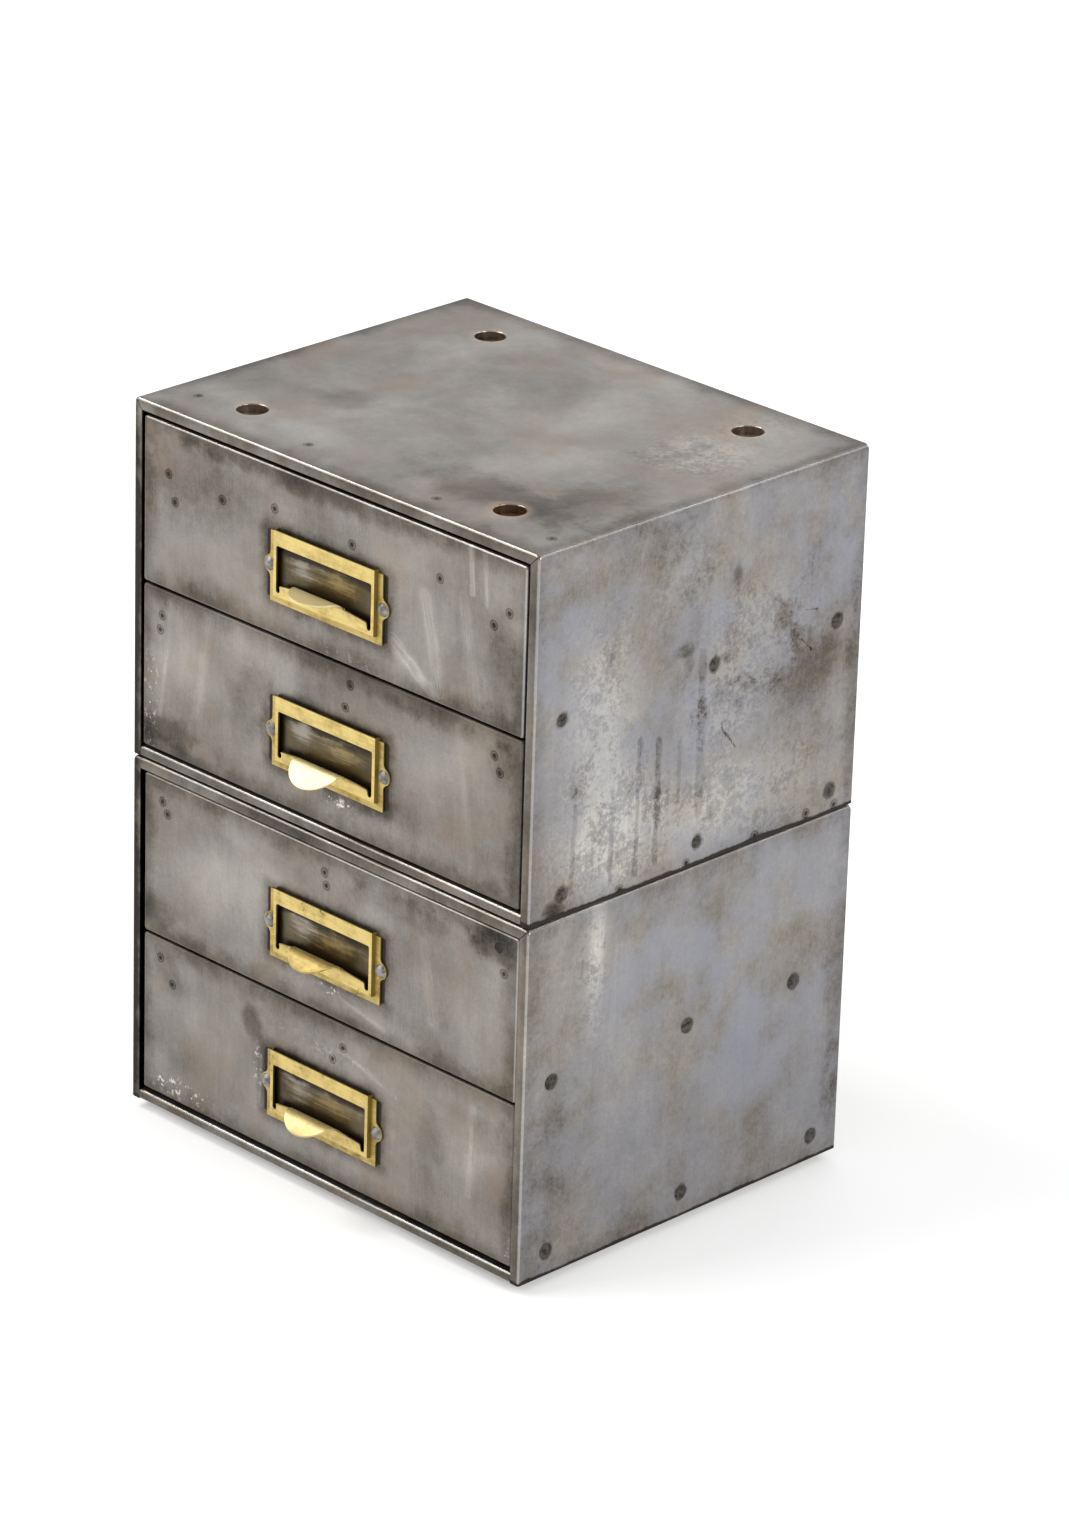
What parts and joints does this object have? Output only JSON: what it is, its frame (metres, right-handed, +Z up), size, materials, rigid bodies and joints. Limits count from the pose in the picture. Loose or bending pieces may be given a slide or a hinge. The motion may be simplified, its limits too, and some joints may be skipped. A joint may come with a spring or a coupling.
{
  "type": "metal drawer cabinet",
  "caption": "Small bare-steel drawer cabinet in stacking units, with flush drawers on riveted runners and brass card-frame pulls with rolled finger lips.",
  "frame": {"origin": "centre of the four feet, on the surface the lower unit stands on", "axes": "+X to the right seen from the front, +Y from the front to the rear, +Z up; the drawers open along -Y"},
  "size_m": [0.3068, 0.2653, 0.4185],
  "materials": {
    "steel": "bare mild-steel sheet, burnished, with browned patches and light scratches",
    "brass": "stamped brass, aged but rubbed bright on the raised edges",
    "rivet": "steel rivets, darkened"
  },
  "bodies": {
    "lower_cabinet": {"lower_casing": "steel", "lower_bottom_pan": "steel", "lower_back_panel": "steel", "lower_top_stiffener": "steel", "lower_runner_3_left": "steel", "lower_runner_3_right": "steel", "lower_runner_4_left": "steel", "lower_runner_4_right": "steel", "lower_runner_rivets": "rivet", "lower_feet": "steel"},
    "upper_cabinet": {"upper_casing": "steel", "upper_bottom_pan": "steel", "upper_back_panel": "steel", "upper_top_stiffener": "steel", "upper_runner_1_left": "steel", "upper_runner_1_right": "steel", "upper_runner_2_left": "steel", "upper_runner_2_right": "steel", "upper_runner_rivets": "rivet", "upper_feet": "steel"},
    "drawer_1": {"drawer_1_front": "steel", "drawer_1_front_stiffener": "steel", "drawer_1_tray": "steel", "drawer_1_tray_back": "steel", "drawer_1_pull": "brass", "drawer_1_pull_rivets": "rivet"},
    "drawer_2": {"drawer_2_front": "steel", "drawer_2_front_stiffener": "steel", "drawer_2_tray": "steel", "drawer_2_tray_back": "steel", "drawer_2_pull": "brass", "drawer_2_pull_rivets": "rivet"},
    "drawer_3": {"drawer_3_front": "steel", "drawer_3_front_stiffener": "steel", "drawer_3_tray": "steel", "drawer_3_tray_back": "steel", "drawer_3_pull": "brass", "drawer_3_pull_rivets": "rivet"},
    "drawer_4": {"drawer_4_front": "steel", "drawer_4_front_stiffener": "steel", "drawer_4_tray": "steel", "drawer_4_tray_back": "steel", "drawer_4_pull": "brass", "drawer_4_pull_rivets": "rivet"}
  },
  "joints": [
    {"name": "upper_cabinet_lift", "type": "slide", "parent": "lower_cabinet", "child": "upper_cabinet", "axis": [0, 0, 1], "range_m": [0, 0.06]},
    {"name": "drawer_1_slide", "type": "slide", "parent": "upper_cabinet", "child": "drawer_1", "axis": [0, -1, 0], "range_m": [0, 0.19]},
    {"name": "drawer_2_slide", "type": "slide", "parent": "upper_cabinet", "child": "drawer_2", "axis": [0, -1, 0], "range_m": [0, 0.19]},
    {"name": "drawer_3_slide", "type": "slide", "parent": "lower_cabinet", "child": "drawer_3", "axis": [0, -1, 0], "range_m": [0, 0.19]},
    {"name": "drawer_4_slide", "type": "slide", "parent": "lower_cabinet", "child": "drawer_4", "axis": [0, -1, 0], "range_m": [0, 0.19]}
  ]
}
